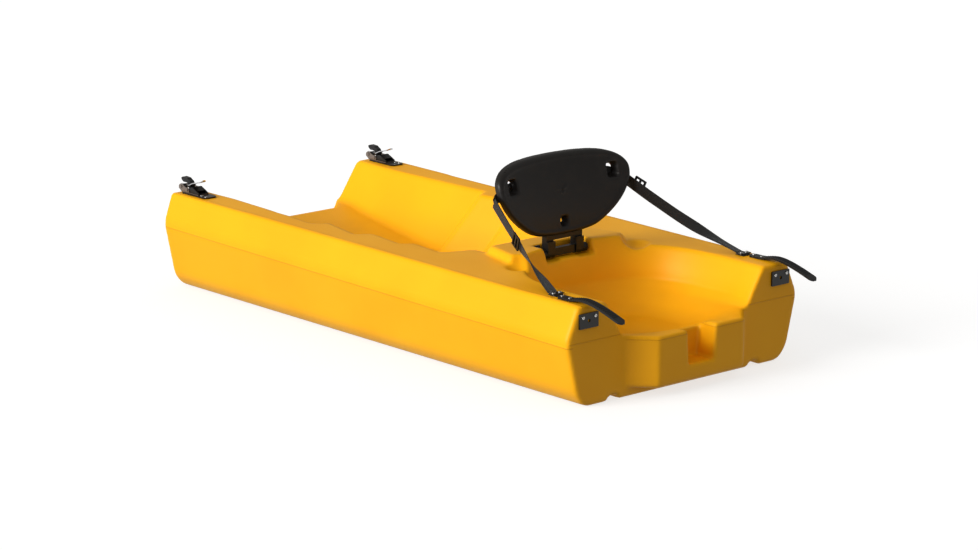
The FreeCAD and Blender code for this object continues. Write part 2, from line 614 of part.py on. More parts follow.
def side_outline(points, y, z):
    """Points given by station and height above z, in an upright plane."""
    return [Vec(x_at(s), y, z + up) for s, up in points]


def ratchet_guide(side):
    """Wedge-shaped plastic block over the strap's way, between the cheeks' bow ends."""
    y = side * JOINT_Y
    z = DECK_STERN + RATCHET_BASE_T + CHEEK_T
    half = CHEEK_Y - PIN_GAP
    body = prism(side_outline(GUIDE_OUTLINE, y - half, z), PORT * (2 * half))
    passage = box(x_at(GUIDE_OUTLINE[0][0]) - 1, x_at(FRAME_BOW) + 1, y - PASSAGE_HALF, y + PASSAGE_HALF,
                  z + PASSAGE_LOW, z + PASSAGE_HIGH)
    top = [e for e in body.Edges if e.BoundBox.YLength > half and e.CenterOfMass.z > z + PASSAGE_HIGH + 1]
    return body.makeFillet(1.5, top).cut(passage)


def ratchet_frame(side):
    """Steel channel: a floor and two cheeks that hold the pins."""
    y = side * JOINT_Y
    z = DECK_STERN + RATCHET_BASE_T
    reach = CHEEK_Y + CHEEK_T
    floor = box(x_at(RATCHET_STERN), x_at(FRAME_BOW), y - reach, y + reach, z, z + CHEEK_T)
    seat = Vec(x_at(RATCHET_SCREWS[0][0]), y, z - 1)
    floor = floor.cut(rod(SCREW_HEAD_R + 0.8, seat, UP, 10))
    cheeks = [prism(side_outline(CHEEK_OUTLINE, y + dy, z), PORT * CHEEK_T) for dy in (-reach, CHEEK_Y)]
    body = floor.fuse(cheeks)
    for centre, radius in ((hub(side), HUB_R), (release_pivot(side), RELEASE_R)):
        body = body.cut(rod(radius, centre - PORT * (reach + 1), PORT, 2 * reach + 2))
    return body.removeSplitter()


def headed_pin(centre, radius, head_radius):
    """Pin through both cheeks with a rivet head each side."""
    reach = CHEEK_Y + CHEEK_T
    body = rod(radius, centre - PORT * reach, PORT, 2 * reach)
    for start in (-reach - PIN_HEAD_T, reach):
        body = body.fuse(rod(head_radius, centre + PORT * start, PORT, PIN_HEAD_T))
    return body.removeSplitter()


def ratchet_lever(side):
    """Chrome lever: toothed hub between two arms, then a plate that sweeps up to its tip."""
    c = hub(side)
    faces = []
    for drop in (0.0, LEVER_T):
        curve = Part.BSplineCurve()
        curve.interpolate([c + Vec(dx, -LEVER_HALF, dz - drop) for dx, dz in LEVER_LINE])
        faces.append((curve.toShape(), curve.StartPoint, curve.EndPoint))
    (top, a0, a1), (under, b0, b1) = faces
    profile = Part.Wire([top, Part.makeLine(a1, b1), under, Part.makeLine(b0, a0)])
    plate = Part.Face(profile).extrude(PORT * (2 * LEVER_HALF))
    reach = LEVER_LINE[-1][0] - LEVER_HALF
    keep = rod(LEVER_HALF, c + Vec(reach, 0, -20), UP, 70)
    keep = keep.fuse(box(c.x - 12, c.x + reach, c.y - LEVER_HALF, c.y + LEVER_HALF, c.z - 20, c.z + 50))
    opening = box(c.x - 12, c.x + LEVER_WINDOW_END, c.y - LEVER_WINDOW_HALF, c.y + LEVER_WINDOW_HALF,
                  c.z - 10, c.z + 40)
    plate = plate.common(keep).cut(opening)
    arm = LEVER_HALF - LEVER_WINDOW_HALF
    arms = [rod(ARM_R, c + PORT * dy, PORT, arm) for dy in (-LEVER_HALF, LEVER_WINDOW_HALF)]
    gear = rod(GEAR_R, c - PORT * LEVER_WINDOW_HALF, PORT, 2 * LEVER_WINDOW_HALF)
    angles = [2 * math.pi * i / FLUTES for i in range(FLUTES)]
    rim = GEAR_R + 0.2
    flutes = [rod(FLUTE_R, c + Vec(rim * math.cos(a), -LEVER_WINDOW_HALF - 1, rim * math.sin(a)), PORT,
                  2 * LEVER_WINDOW_HALF + 2) for a in angles]
    body = plate.fuse(arms).fuse(gear.cut(flutes))
    return body.cut(rod(HUB_R + PIN_GAP, c - PORT * (LEVER_HALF + 3), PORT, 2 * LEVER_HALF + 6)).removeSplitter()


def release_lever(side):
    """Black thumb lever with the pawl that locks the strap."""
    c = release_pivot(side)
    body = prism([c + Vec(dx, -RELEASE_HALF, dz) for dx, dz in RELEASE_OUTLINE], PORT * (2 * RELEASE_HALF))
    edges = [e for e in body.Edges if e.BoundBox.YLength > RELEASE_HALF and e.CenterOfMass.z > c.z + 17]
    body = body.makeFillet(1.2, edges)
    return body.cut(rod(RELEASE_R + PIN_GAP, c - PORT * (RELEASE_HALF + 3), PORT, 2 * RELEASE_HALF + 6))


def release_spring(side):
    """Torsion spring beside the release lever: a close coil round the pin and two short legs."""
    c = release_pivot(side)
    coil = tube(3.6, RELEASE_R + 0.3, c + PORT * 7.6, PORT, 5.4)
    legs = [rod(0.5, c + Vec(0, 8.3, -3.1), BOW * -1, 8.5),
            rod(0.5, c + Vec(0, 12.3, 3.1), BOW, 8.0)]
    return coil.fuse(legs).removeSplitter()


# ---- assembly ----
def build():
    nodes = {}
    solids = hull_body(0.0).cut(hull_body(WALL))
    screws = {}
    for name, side in SIDES:
        screws["ratchet_screws_" + name] = (ratchet_screw_points(side), UP, RATCHET_BASE_T)
        screws["end_plate_screws_" + name] = (plate_screw_points(side), BOW, PLATE_T)
        screws["ladder_strap_screws_" + name] = (ladder_screw_points(side), UP, LADDER_T + LADDER_LIFT)
        screws["strap_anchor_screws_" + name] = (anchor_screw_points(side), UP, 6.0)
        screws["hinge_lug_screws_" + name] = (lug_screw_points(side), BOW, LUG_FLANGE_T)
    inserts = {"threaded_inserts_deck": [], "threaded_inserts_bow": [], "threaded_inserts_hinge": []}
    for name, (points, way, cover) in screws.items():
        nodes[name] = Part.makeCompound([screw(p, way) for p in points])
        group = "deck" if way == UP else ("bow" if "plate" in name else "hinge")
        seats = [p - way * cover for p in points]
        solids = drilled(solids, seats, way, INSERT_R, INSERT_L)
        inserts["threaded_inserts_" + group] += [insert(p, way) for p in seats]
    nodes["hull_shell"] = solids
    for name, group in inserts.items():
        nodes[name] = Part.makeCompound(group)
    for name, side in SIDES:
        nodes["end_plate_" + name] = end_plate(side)
        nodes["ladder_strap_" + name] = ladder_strap(side)
        nodes["ratchet_base_" + name] = ratchet_base(side)
        nodes["ratchet_frame_" + name] = ratchet_frame(side)
        nodes["ratchet_guide_" + name] = ratchet_guide(side)
        nodes["ratchet_lever_" + name] = ratchet_lever(side)
        nodes["ratchet_pin_" + name] = headed_pin(hub(side), HUB_R, HUB_HEAD_R)
        nodes["release_lever_" + name] = release_lever(side)
        nodes["release_pin_" + name] = headed_pin(release_pivot(side), RELEASE_R, RELEASE_HEAD_R)
        nodes["release_spring_" + name] = release_spring(side)
        nodes["seat_strap_" + name] = seat_strap(side)
        nodes["strap_loop_" + name] = strap_loop(side)
        nodes["strap_anchor_" + name] = strap_anchor(side)
        nodes["strap_fold_" + name] = strap_fold(side)
        nodes["hinge_lug_" + name] = hinge_lug(side)
    nodes["strap_buckle_starboard"] = strap_buckle(-1, ADJUSTER_SHARE_STARBOARD)
    nodes["strap_buckle_port"] = strap_buckle(1, ADJUSTER_SHARE_PORT)
    nodes["backrest_shell"] = backrest_shell()
    nodes["backrest_yoke"] = backrest_yoke()
    nodes["hinge_rod"] = rod(ROD_R, Vec(PIVOT_X, -ROD_HALF, PIVOT_Z), PORT, 2 * ROD_HALF)
    nodes["yoke_screws"] = Part.makeCompound([screw(p, BOW * -1, YOKE_SCREW_L) for p in yoke_screw_points()])
    return nodes


def main():
    os.makedirs("parts", exist_ok=True)
    for name, shape in build().items():
        good = shape.isValid() and all(s.isClosed() for s in shape.Shells)
        print(f"{name:28s} solids {len(shape.Solids)} faces {len(shape.Faces):4d} "
              f"volume {shape.Volume / 1000:9.2f} cm3 {'ok' if good else 'BAD'}")
        shape.exportStep(f"parts/{name}.step")


main()
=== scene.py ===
import json
import math
import bpy
import mathutils
import numpy as np
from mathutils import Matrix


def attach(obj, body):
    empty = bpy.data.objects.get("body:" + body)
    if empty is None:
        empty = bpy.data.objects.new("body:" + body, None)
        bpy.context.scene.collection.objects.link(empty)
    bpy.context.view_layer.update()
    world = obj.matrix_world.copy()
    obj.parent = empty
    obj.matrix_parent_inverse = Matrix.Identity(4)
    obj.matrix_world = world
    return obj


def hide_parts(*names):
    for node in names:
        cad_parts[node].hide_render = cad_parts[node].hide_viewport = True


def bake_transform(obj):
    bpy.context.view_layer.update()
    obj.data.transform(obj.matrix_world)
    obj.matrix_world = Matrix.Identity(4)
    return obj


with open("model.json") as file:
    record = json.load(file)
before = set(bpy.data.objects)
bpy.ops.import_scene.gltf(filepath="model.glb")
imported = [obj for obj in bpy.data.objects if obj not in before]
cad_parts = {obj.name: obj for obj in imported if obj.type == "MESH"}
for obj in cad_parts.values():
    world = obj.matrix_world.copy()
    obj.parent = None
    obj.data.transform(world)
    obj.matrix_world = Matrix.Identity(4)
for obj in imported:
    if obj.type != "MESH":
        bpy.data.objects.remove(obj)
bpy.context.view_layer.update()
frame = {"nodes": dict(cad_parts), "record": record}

MM = 0.001
SIDES = (("port", 1), ("starboard", -1))

# Sizes of the object in millimetres. Station runs from the stern joint face to the bow.
HALF_LENGTH = 760.0
HALF_BEAM = 373.0                       # at the knuckle
BOTTOM_HALF = 314.0
BILGE_HALF, BILGE_Z = 342.0, 30.0
DECK_HALF_STERN, DECK_HALF = 347.0, 337.0
DECK_STERN, DECK_BOW = 247.0, 237.0
KNUCKLE_STERN, KNUCKLE_BOW = 173.0, 156.0
WALL_RUN = 1 / math.tan(math.radians(56.0))

# footwell: station and half width at deck level, and station and height of the floor
FOOTWELL_PLAN = ((-60, 272), (160, 264), (387, 274), (500, 283), (520, 246), (656, 274), (672, 236),
                 (797, 252), (817, 224), (926, 234), (957, 154), (1004, 150), (1100, 146))
BRACE_LEAN, LEAN_START, LEAN_FULL = 0.33, 62.0, 420.0
FOOTWELL_FLOOR = ((-60, 147), (62, 147), (420, 95), (900, 90), (935, 100), (1004, 240), (1060, 354),
                  (1100, 430))

# raised bridge between footwell and seat
SHELF_PLAN = ((980, 158), (1000, 163), (1090, 184), (1190, 212), (1230, 212))
SHELF_Z, SHELF_HEIGHT, SHELF_DRAFT = 260.0, 40.0, 9.0
SHELF_STERN, SHELF_BOW, SHELF_ROOT_Z = 1000.0, 1218.0, 180.0

# tongue, its notch, and the socket and key at the stern that match them
TONGUE_Z, TONGUE_BOTTOM = 147.0, 22.0
TONGUE_REACH, TONGUE_ROOT_X = 55.0, 650.0
TONGUE_HALF, TONGUE_ROOT_HALF = 137.0, 198.0
NOTCH_DEPTH, NOTCH_FLOOR, NOTCH_HALF, NOTCH_FLARE = 57.0, 62.0, 40.0, 16.0 / 258.0
JOINT_CLEARANCE = 3.0
SOCKET_X = TONGUE_REACH + JOINT_CLEARANCE - HALF_LENGTH
KEY_X = SOCKET_X + 2 * JOINT_CLEARANCE - NOTCH_DEPTH
KEY_ROOT_X, KEY_TIP_Z, KEY_RISE = -660.0, 129.0, 9.0

# channels along the bottom: middle, half width and depth at the ceiling, half width below the bottom
CHANNEL_Y, CHANNEL_HALF, CHANNEL_DEPTH, CHANNEL_FOOT_HALF, CHANNEL_FOOT_Z = 228.0, 13.0, 14.0, 23.0, -5.0

# seat: upper well by its middle, half width and reach sternwards at the tongue's level and their growth
# up to the bridge's level; bowl the same from its floor up to the tongue's level
WELL_MIDDLE, WELL_HALF, WELL_BEHIND = (1430, -30), (200, 68), (263, 22)
WELL_OPEN, WELL_POWER, WELL_EASE = 1e5, 2.75, 0.86
BOWL_Z = 95.0
BOWL_MIDDLE, BOWL_HALF, BOWL_AHEAD, BOWL_BEHIND = (1352, 25), (138, 62), (100, 58), (139, 71)
BOWL_POWER, BOWL_EASE = (2.3, 0.45), 0.72

# pocket and grooves for the backrest's foot, and the hand scoops
POCKET_X, POCKET_END_X, POCKET_HALF, POCKET_Z = 319.0, 430.0, 77.0, 228.5
GROOVE_Y, GROOVE_HALF, GROOVE_Z = 53.5, 23.5, 225.5
SCOOP_X, SCOOP_Y, SCOOP_Z, SCOOP_R = 398.0, 190.0, 264.0, 39.0


# ---------------------------------------------------------------- materials
class Wire:
    """One socket of a node tree. Arithmetic on it adds Math nodes."""

    def __init__(self, tree, socket):
        self.tree = tree
        self.socket = socket

    def math(self, operation, *others):
        node = self.tree.nodes.new("ShaderNodeMath")
        node.operation = operation
        for place, value in zip(node.inputs, (self,) + others):
            link(self.tree, value, place)
        return Wire(self.tree, node.outputs[0])

    def __add__(self, other):
        return self.math("ADD", other)

    def __radd__(self, other):
        return self.math("ADD", other)

    def __sub__(self, other):
        return self.math("SUBTRACT", other)

    def __rsub__(self, other):
        return (self * -1.0) + other

    def __mul__(self, other):
        return self.math("MULTIPLY", other)

    def __rmul__(self, other):
        return self.math("MULTIPLY", other)

    def __abs__(self):
        return self.math("ABSOLUTE")

    def step(self, low, high):
        """0 below low, 1 above high, smooth between."""
        node = self.tree.nodes.new("ShaderNodeMapRange")
        node.interpolation_type = "SMOOTHSTEP"
        link(self.tree, self, node.inputs["Value"])
        node.inputs["From Min"].default_value = low
        node.inputs["From Max"].default_value = high
        return Wire(self.tree, node.outputs["Result"])


def link(tree, value, place):
    """Puts a wire or a plain number or colour on an input."""
    if isinstance(value, Wire):
        tree.links.new(value.socket, place)
    else:
        place.default_value = value


def linear(colour):
    """Linear RGBA of a display colour given as 0-255 numbers."""
    parts = [c / 255.0 for c in colour]
    return tuple(c / 12.92 if c <= 0.04045 else ((c + 0.055) / 1.055) ** 2.4 for c in parts) + (1.0,)


class Paint:
    """A material whose nodes are added by short calls."""

    def __init__(self, name, colour, roughness, metallic=0.0, coat=0.0):
        self.material = bpy.data.materials.new(name)
        self.material.use_nodes = True
        self.tree = self.material.node_tree
        self.shader = self.tree.nodes["Principled BSDF"]
        self.put("Base Color", linear(colour))
        self.put("Roughness", roughness)
        self.put("Metallic", metallic)
        self.put("Coat Weight", coat)
        self.put("IOR", 1.46)

    def put(self, name, value):
        """Sets or links an input of the surface shader."""
        link(self.tree, value, self.shader.inputs[name])

    def node(self, kind, output=0, settings=(), **inputs):
        """Any node by its type, its settings and the values or wires of its inputs."""
        made = self.tree.nodes.new("ShaderNode" + kind)
        for key, value in dict(settings).items():
            setattr(made, key, value)
        for key, value in inputs.items():
            link(self.tree, value, made.inputs[key.replace("_", " ")])
        return Wire(self.tree, made.outputs[output])

    def place(self):
        """Object coordinates."""
        return self.node("TexCoord", "Object")

    def part(self, vector, axis):
        """One axis of a vector."""
        return self.node("SeparateXYZ", axis, Vector=vector)

    def noise(self, scale, detail=2.0, stretch=(1, 1, 1)):
        """Cloudy noise from 0 to 1, with about scale lumps to the metre."""
        spot = self.node("Mapping", Vector=self.place(), Scale=stretch)
        return self.node("TexNoise", "Fac", Vector=spot, Scale=scale, Detail=detail)

    def blend(self, share, first, second):
        """Colour between two others."""
        made = self.tree.nodes.new("ShaderNodeMix")
        made.data_type = "RGBA"
        link(self.tree, share, made.inputs[0])
        link(self.tree, first, made.inputs[6])
        link(self.tree, second, made.inputs[7])
        return Wire(self.tree, made.outputs[2])

    def bump(self, height, distance, strength=1.0, after=None):
        """Normal bent by a height, on top of another bump."""
        made = self.tree.nodes.new("ShaderNodeBump")
        made.inputs["Strength"].default_value = strength
        made.inputs["Distance"].default_value = distance
        link(self.tree, height, made.inputs["Height"])
        if after is not None:
            link(self.tree, after, made.inputs["Normal"])
        return Wire(self.tree, made.outputs[0])


# mould lines of the hull in metres: parting line, end lines, deck lip and tongue brim, raised as beads and
# darkened in colour as painted shade
PARTING_Z, PARTING_FALL, PARTING_FROM_Y = 0.1535, 0.01118, 0.352
END_LINE_X, END_LINE_Y = 0.7555, 0.204
LIP_Y, LIP_TAPER, LIP_Z, LIP_FALL = 0.3290, 0.0049, 0.232, 0.00658
BRIM_Z, BRIM_X = 0.1375, 0.7615
LINE_HALF, BRIM_HALF = 0.0022, 0.0018


def groove_line(distance, half):
    """1 on a line, falling smoothly to 0 at a half width."""
    return 1.0 - distance.step(half * 0.25, half)


def hull_plastic():
    """Rotomoulded polyethylene: satin, faint flow marks, fine grain, mould-line beads darkened with painted
    shade, a few scuffs low down.
    """
    paint = Paint("hull_polyethylene", (247, 181, 18), 0.42)
    paint.put("Specular IOR Level", 0.22)
    spot = paint.place()
    x, y, z = (paint.part(spot, axis) for axis in "XYZ")
    cloud = paint.noise(5.0, 3.0)
    fleck = paint.noise(420.0, 2.0)
    scuff = paint.noise(60.0, 5.0, (1.0, 8.0, 8.0)).step(0.60, 0.72)
    low = 1.0 - z.step(0.0, 0.07)
    wide = abs(y)
    parting = groove_line(abs(z + x * PARTING_FALL - PARTING_Z), LINE_HALF)
    parting = parting * wide.step(PARTING_FROM_Y, PARTING_FROM_Y + 0.006)
    ends = groove_line(abs(z - PARTING_Z), LINE_HALF) * abs(x).step(END_LINE_X, END_LINE_X + 0.003)
    ends = ends * wide.step(END_LINE_Y, END_LINE_Y + 0.004)
    lip = groove_line(abs(wide + x * LIP_TAPER - LIP_Y), LINE_HALF)
    lip = lip * (z + x * LIP_FALL).step(LIP_Z, LIP_Z + 0.004)
    brim = groove_line(abs(z - BRIM_Z), BRIM_HALF) * x.step(BRIM_X, BRIM_X + 0.002)
    # the mould-line mask: it raises the beads by bump and darkens the colour along them as painted shade
    bead_and_painted_shade = parting + ends + lip + brim
    tone = paint.blend(cloud.step(0.3, 0.7), linear((248, 183, 20)), linear((245, 178, 15)))
    tone = paint.blend(fleck.step(0.55, 0.8) * 0.10, tone, linear((252, 196, 50)))
    tone = paint.blend(scuff * low * 0.35, tone, linear((212, 155, 40)))
    # painted shade: the colour along the mould-line beads is darkened to stand for the shade at their edges
    tone = paint.blend(bead_and_painted_shade * 0.22, tone, linear((196, 128, 6)))
    paint.put("Base Color", tone)
    paint.put("Roughness", cloud * 0.10 + fleck * 0.08 + scuff * low * 0.15 + 0.34)
    grain = paint.bump(paint.noise(260.0, 2.0), 0.0004, 0.30)
    seam = paint.bump(bead_and_painted_shade, 0.0012, 0.7, grain)
    paint.put("Normal", paint.bump(paint.noise(9.0, 1.0), 0.004, 0.10, seam))
    return paint.material


def black_plastic(name, colour, roughness, grain_scale, depth):
    """Moulded black plastic with a fine grain and lighter rubbed patches."""
    paint = Paint(name, colour, roughness)
    rub = paint.noise(35.0, 4.0).step(0.45, 0.75)
    worn = tuple(min(255, c + 16) for c in colour)
    paint.put("Base Color", paint.blend(rub * 0.6, linear(colour), linear(worn)))
    paint.put("Roughness", rub * 0.12 + roughness)
    paint.put("Normal", paint.bump(paint.noise(grain_scale, 2.0), depth, 0.35))
    return paint.material


def brushed_metal(name, colour, roughness, stretch, scratch=0.1):
    """Metal drawn along one axis, with fine streaks and a few finger marks."""
    paint = Paint(name, colour, roughness, metallic=1.0)
    streak = paint.noise(700.0, 2.0, stretch)
    mark = paint.noise(70.0, 3.0).step(0.5, 0.7)
    darker = tuple(int(c * 0.82) for c in colour)
    paint.put("Base Color", paint.blend(streak, linear(colour), linear(darker)))
    paint.put("Roughness", streak * scratch + mark * 0.08 + roughness)
    paint.put("Normal", paint.bump(streak, 0.00006, 0.25))
    return paint.material


def powder_coat():
    """Satin black coating with an even fine stipple and a few small worn spots."""
    paint = Paint("plate_black", (28, 24, 23), 0.38, coat=0.15)
    chip = paint.noise(240.0, 4.0).step(0.66, 0.72)
    paint.put("Base Color", paint.blend(chip, linear((28, 24, 23)), linear((86, 80, 74))))
    paint.put("Roughness", chip * 0.2 + 0.36)
    paint.put("Normal", paint.bump(paint.noise(900.0, 1.0), 0.00008, 0.4))
    return paint.material


RIB_PITCH, PICK_PITCH = 1.6, 1.1
CHEVRON_WIDTH, CHEVRON_REACH = 12.5, 8.0


def webbing_cloth():
    """Woven webbing: ribs across U and a herringbone of picks along V, both in millimetres."""
    paint = Paint("webbing", (22, 21, 22), 0.72)
    spot = paint.node("UVMap", "UV", settings={"uv_map": "weave"})
    across = paint.part(spot, "X")
    run = paint.part(spot, "Y")
    rib = (across * (2 * math.pi / RIB_PITCH)).math("SINE")
    zigzag = abs((across * (1 / CHEVRON_WIDTH) + 0.5).math("FRACT") - 0.5) * CHEVRON_REACH
    pick = ((run + zigzag) * (2 * math.pi / PICK_PITCH)).math("SINE")
    weave = rib * 0.5 + pick * rib * 0.5
    fuzz = paint.noise(900.0, 2.0)
    paint.put("Base Color", paint.blend(weave.step(-0.6, 0.9), linear((6, 6, 7)), linear((24, 23, 24))))
    paint.put("Roughness", 0.62 + fuzz * 0.2)
    paint.put("Sheen Weight", 0.25)
    paint.put("Normal", paint.bump(weave + fuzz * 0.4, 0.00035, 0.7))
    return paint.material


MATERIALS = {
    "hull_polyethylene": hull_plastic(),
    "backrest_plastic": black_plastic("backrest_plastic", (27, 23, 20), 0.44, 900.0, 0.00012),
    "yoke_plastic": black_plastic("yoke_plastic", (24, 22, 21), 0.36, 700.0, 0.00012),
    "hardware_plastic": black_plastic("hardware_plastic", (20, 19, 20), 0.33, 800.0, 0.0001),
    "strap_urethane": black_plastic("strap_urethane", (20, 20, 21), 0.45, 500.0, 0.00015),
    "plate_black": powder_coat(),
    "hinge_steel": brushed_metal("hinge_steel", (150, 150, 152), 0.30, (1, 0.05, 1)),
    "screw_steel": brushed_metal("screw_steel", (205, 203, 200), 0.20, (1, 1, 0.1)),
    "ratchet_steel": brushed_metal("ratchet_steel", (150, 138, 130), 0.34, (0.05, 1, 1)),
    "lever_chrome": brushed_metal("lever_chrome", (214, 213, 214), 0.12, (0.05, 1, 1), 0.06),
    "brass_insert": brushed_metal("brass_insert", (190, 150, 90), 0.35, (1, 1, 0.1)),
    "webbing": webbing_cloth(),
}
SLOT_OF = {row["node"]: row["material_slot"] for row in frame["record"]["subparts"]}
for node, obj in frame["nodes"].items():
    obj.data.materials.clear()
    obj.data.materials.append(MATERIALS[SLOT_OF[node]])


# ---------------------------------------------------------------- mesh tools
def piece(name, verts, faces, slot, body, replaced=(), weave=None):
    """A mesh object from millimetre points. It rides on a body and may stand for CAD nodes."""
    mesh = bpy.data.meshes.new(name)
    verts = np.asarray(verts, float) * MM
    faces = np.asarray(faces, np.int32)
    sides = faces.shape[1]
    mesh.vertices.add(len(verts))
    mesh.vertices.foreach_set("co", verts.ravel())
    mesh.loops.add(faces.size)
    mesh.loops.foreach_set("vertex_index", faces.ravel())
    mesh.polygons.add(len(faces))
    mesh.polygons.foreach_set("loop_start", np.arange(len(faces), dtype=np.int32) * sides)
    mesh.update(calc_edges=True)
    mesh.validate()
    mesh.polygons.foreach_set("use_smooth", np.ones(len(mesh.polygons), bool))
    if weave is not None:
        layer = mesh.uv_layers.new(name="weave")
        layer.data.foreach_set("uv", np.asarray(weave, float)[faces.ravel()].ravel())
    mesh.materials.append(MATERIALS[slot])
    obj = bpy.data.objects.new(name, mesh)
    bpy.context.scene.collection.objects.link(obj)
    if replaced:
        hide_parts(*replaced)
    if body:
        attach(obj, body)
    return obj


def soft_max(a, b, k):
    """The larger of two fields, with their corner rounded off over a band k wide."""
    h = np.maximum(k - np.abs(a - b), 0.0) / k
    return np.maximum(a, b) + h * h * k / 4


def soft_min(a, b, k):
    """The smaller of two fields, with their corner filled over a band k wide."""
    return -soft_max(-a, -b, k)


def plane(a, b, at, towards):
    """Signed distance in the (a, b) plane from the line through at and towards; negative on its left."""
    da, db = towards[0] - at[0], towards[1] - at[1]
    return ((a - at[0]) * db - (b - at[1]) * da) / np.hypot(da, db)


def smooth_table(rows, blur):
    """A table of (position, value) rows with rounded corners, as a function, and its slope."""
    fine = np.arange(rows[0][0], rows[-1][0], 1.0)
    raw = np.interp(fine, *zip(*rows))
    reach = np.arange(-3 * blur, 3 * blur + 1)
    weights = np.exp(-0.5 * (reach / blur) ** 2)
    padded = np.pad(raw, int(3 * blur), mode="reflect", reflect_type="odd")
    value = np.convolve(padded, weights / weights.sum(), mode="valid")
    slope = np.gradient(value)
    return (lambda s: np.interp(s, fine, value)), (lambda s: np.interp(s, fine, slope))


def slope_of(field, p, h=0.25):
    """Gradient of a field at points (n, 3), by central differences."""
    g = np.empty_like(p)
    for axis in range(3):
        d = np.zeros(3)
        d[axis] = h
        g[:, axis] = (field(*(p + d).T) - field(*(p - d).T)) / (2 * h)
    return g


def net(field, low, high, step, rounds=4):
    """Closed surface of the solid where field < 0.

    Each grid cell that the surface crosses has one vertex, at the mean of its edge crossings and then
    moved along the field's slope, p - f g / (g.g), on to the surface. Each grid edge that crosses it
    has one quad between its four cells, wound to face outwards.
    """
    step = np.broadcast_to(np.asarray(step, float), (3,))
    axes = [np.arange(a, b + s, s) for a, b, s in zip(low, high, step)]
    grid = np.stack(np.meshgrid(*axes, indexing="ij"), -1)
    value = field(grid[..., 0], grid[..., 1], grid[..., 2])
    inside = value < 0
    n = np.array(inside.shape) - 1
    corners = [np.array(c) for c in np.ndindex(2, 2, 2)]

    def at(array, corner):
        return array[tuple(slice(c, c + m) for c, m in zip(corner, n))]

    count = sum(at(inside, c).astype(np.int8) for c in corners)
    mixed = (count > 0) & (count < 8)
    index = np.full(mixed.shape, -1, np.int64)
    index[mixed] = np.arange(mixed.sum())
    total = np.zeros((mixed.sum(), 3))
    hits = np.zeros(mixed.sum())
    for axis in range(3):
        for corner in corners:
            if corner[axis]:
                continue
            other = corner.copy()
            other[axis] = 1
            fa, fb = at(value, corner)[mixed], at(value, other)[mixed]
            cross = (fa < 0) != (fb < 0)
            share = np.where(cross, fa / np.where(cross, fa - fb, 1.0), 0.0)[:, None]
            pa, pb = at(grid, corner)[mixed], at(grid, other)[mixed]
            total += np.where(cross[:, None], pa + (pb - pa) * share, 0.0)
            hits += cross
    points = total / hits[:, None]
    for _ in range(rounds):
        g = slope_of(field, points)
        move = -(field(*points.T) / np.maximum((g * g).sum(1), 0.05))[:, None] * g
        length = np.linalg.norm(move, axis=1, keepdims=True)
        points += move * np.minimum(1.0, 0.4 * step.min() / np.maximum(length, 1e-9))
    faces = []
    for axis in range(3):
        b, c = (axis + 1) % 3, (axis + 2) % 3
        first = np.take(inside, range(n[axis]), axis)
        second = np.take(inside, range(1, n[axis] + 1), axis)
        where = np.argwhere(first != second)
        where = where[(where[:, b] > 0) & (where[:, c] > 0) & (where[:, b] < n[b]) & (where[:, c] < n[c])]
        leaving = first[tuple(where.T)]
        quad = []
        for db, dc in ((1, 1), (0, 1), (0, 0), (1, 0)):
            cell = where.copy()
            cell[:, b] -= db
            cell[:, c] -= dc
            quad.append(index[tuple(cell.T)])
        quad = np.stack(quad, 1)
        faces.append(np.where(leaving[:, None], quad, quad[:, ::-1]))
    return points, np.vstack(faces)


# ---------------------------------------------------------------- hull
def over(p):
    """Steepness of a distance table: sqrt(1 + slope squared)."""
    return np.sqrt(1 + p * p)


well_half, well_half_slope = smooth_table(FOOTWELL_PLAN, 5)
well_floor, well_floor_slope = smooth_table(FOOTWELL_FLOOR, 10)
shelf_half, shelf_half_slope = smooth_table(SHELF_PLAN, 8)


def deck_z(x):
    return DECK_STERN + (DECK_BOW - DECK_STERN) * (x + HALF_LENGTH) / (2 * HALF_LENGTH)


def knuckle_z(x):
    return KNUCKLE_STERN + (KNUCKLE_BOW - KNUCKLE_STERN) * (x + HALF_LENGTH) / (2 * HALF_LENGTH)


def outer_block(x, w, z):
    """Bottom, bilge, two-plane topsides and deck between the joint faces."""
    knuckle, deck = knuckle_z(x), deck_z(x)
    edge = DECK_HALF_STERN + (DECK_HALF - DECK_HALF_STERN) * (x + HALF_LENGTH) / (2 * HALF_LENGTH)
    lower = plane(w, z, (BILGE_HALF, BILGE_Z), (HALF_BEAM, knuckle))
    upper = plane(w, z, (HALF_BEAM, knuckle), (edge, deck))
    bilge = plane(w, z, (BOTTOM_HALF, 0.0), (BILGE_HALF, BILGE_Z))
    body = soft_max(lower, upper, 11.0)
    body = soft_max(body, bilge, 9.0)
    body = soft_max(body, -z, 13.0)
    body = soft_max(body, z - deck, 5.0)
    return soft_max(body, np.abs(x) - HALF_LENGTH, 12.0)


def shelf_block(s, w, z):
    """Raised bridge whose sides draw in by SHELF_DRAFT over its height."""
    draft = (z - SHELF_Z + SHELF_HEIGHT) * SHELF_DRAFT / SHELF_HEIGHT
    slope = shelf_half_slope(s)
    side = (w - shelf_half(s) + draft) / over(slope)
    body = soft_max(side, SHELF_STERN + draft - s, 9.0)
    body = soft_max(body, s - SHELF_BOW + draft, 9.0)
    body = soft_max(body, z - SHELF_Z, 9.0)
    return np.maximum(body, SHELF_ROOT_Z - z)


def tongue_block(x, w, z):
    """Tongue with its front corners cut at 45 degrees."""
    front = HALF_LENGTH + TONGUE_REACH
    body = soft_max(x - front, (x + w - (front + TONGUE_HALF)) / math.sqrt(2), 5.0)
    body = soft_max(body, w - TONGUE_ROOT_HALF, 5.0)
    body = soft_max(body, z - TONGUE_Z, 9.0)
    body = soft_max(body, TONGUE_BOTTOM - z, 14.0)
    return np.maximum(body, TONGUE_ROOT_X - x)


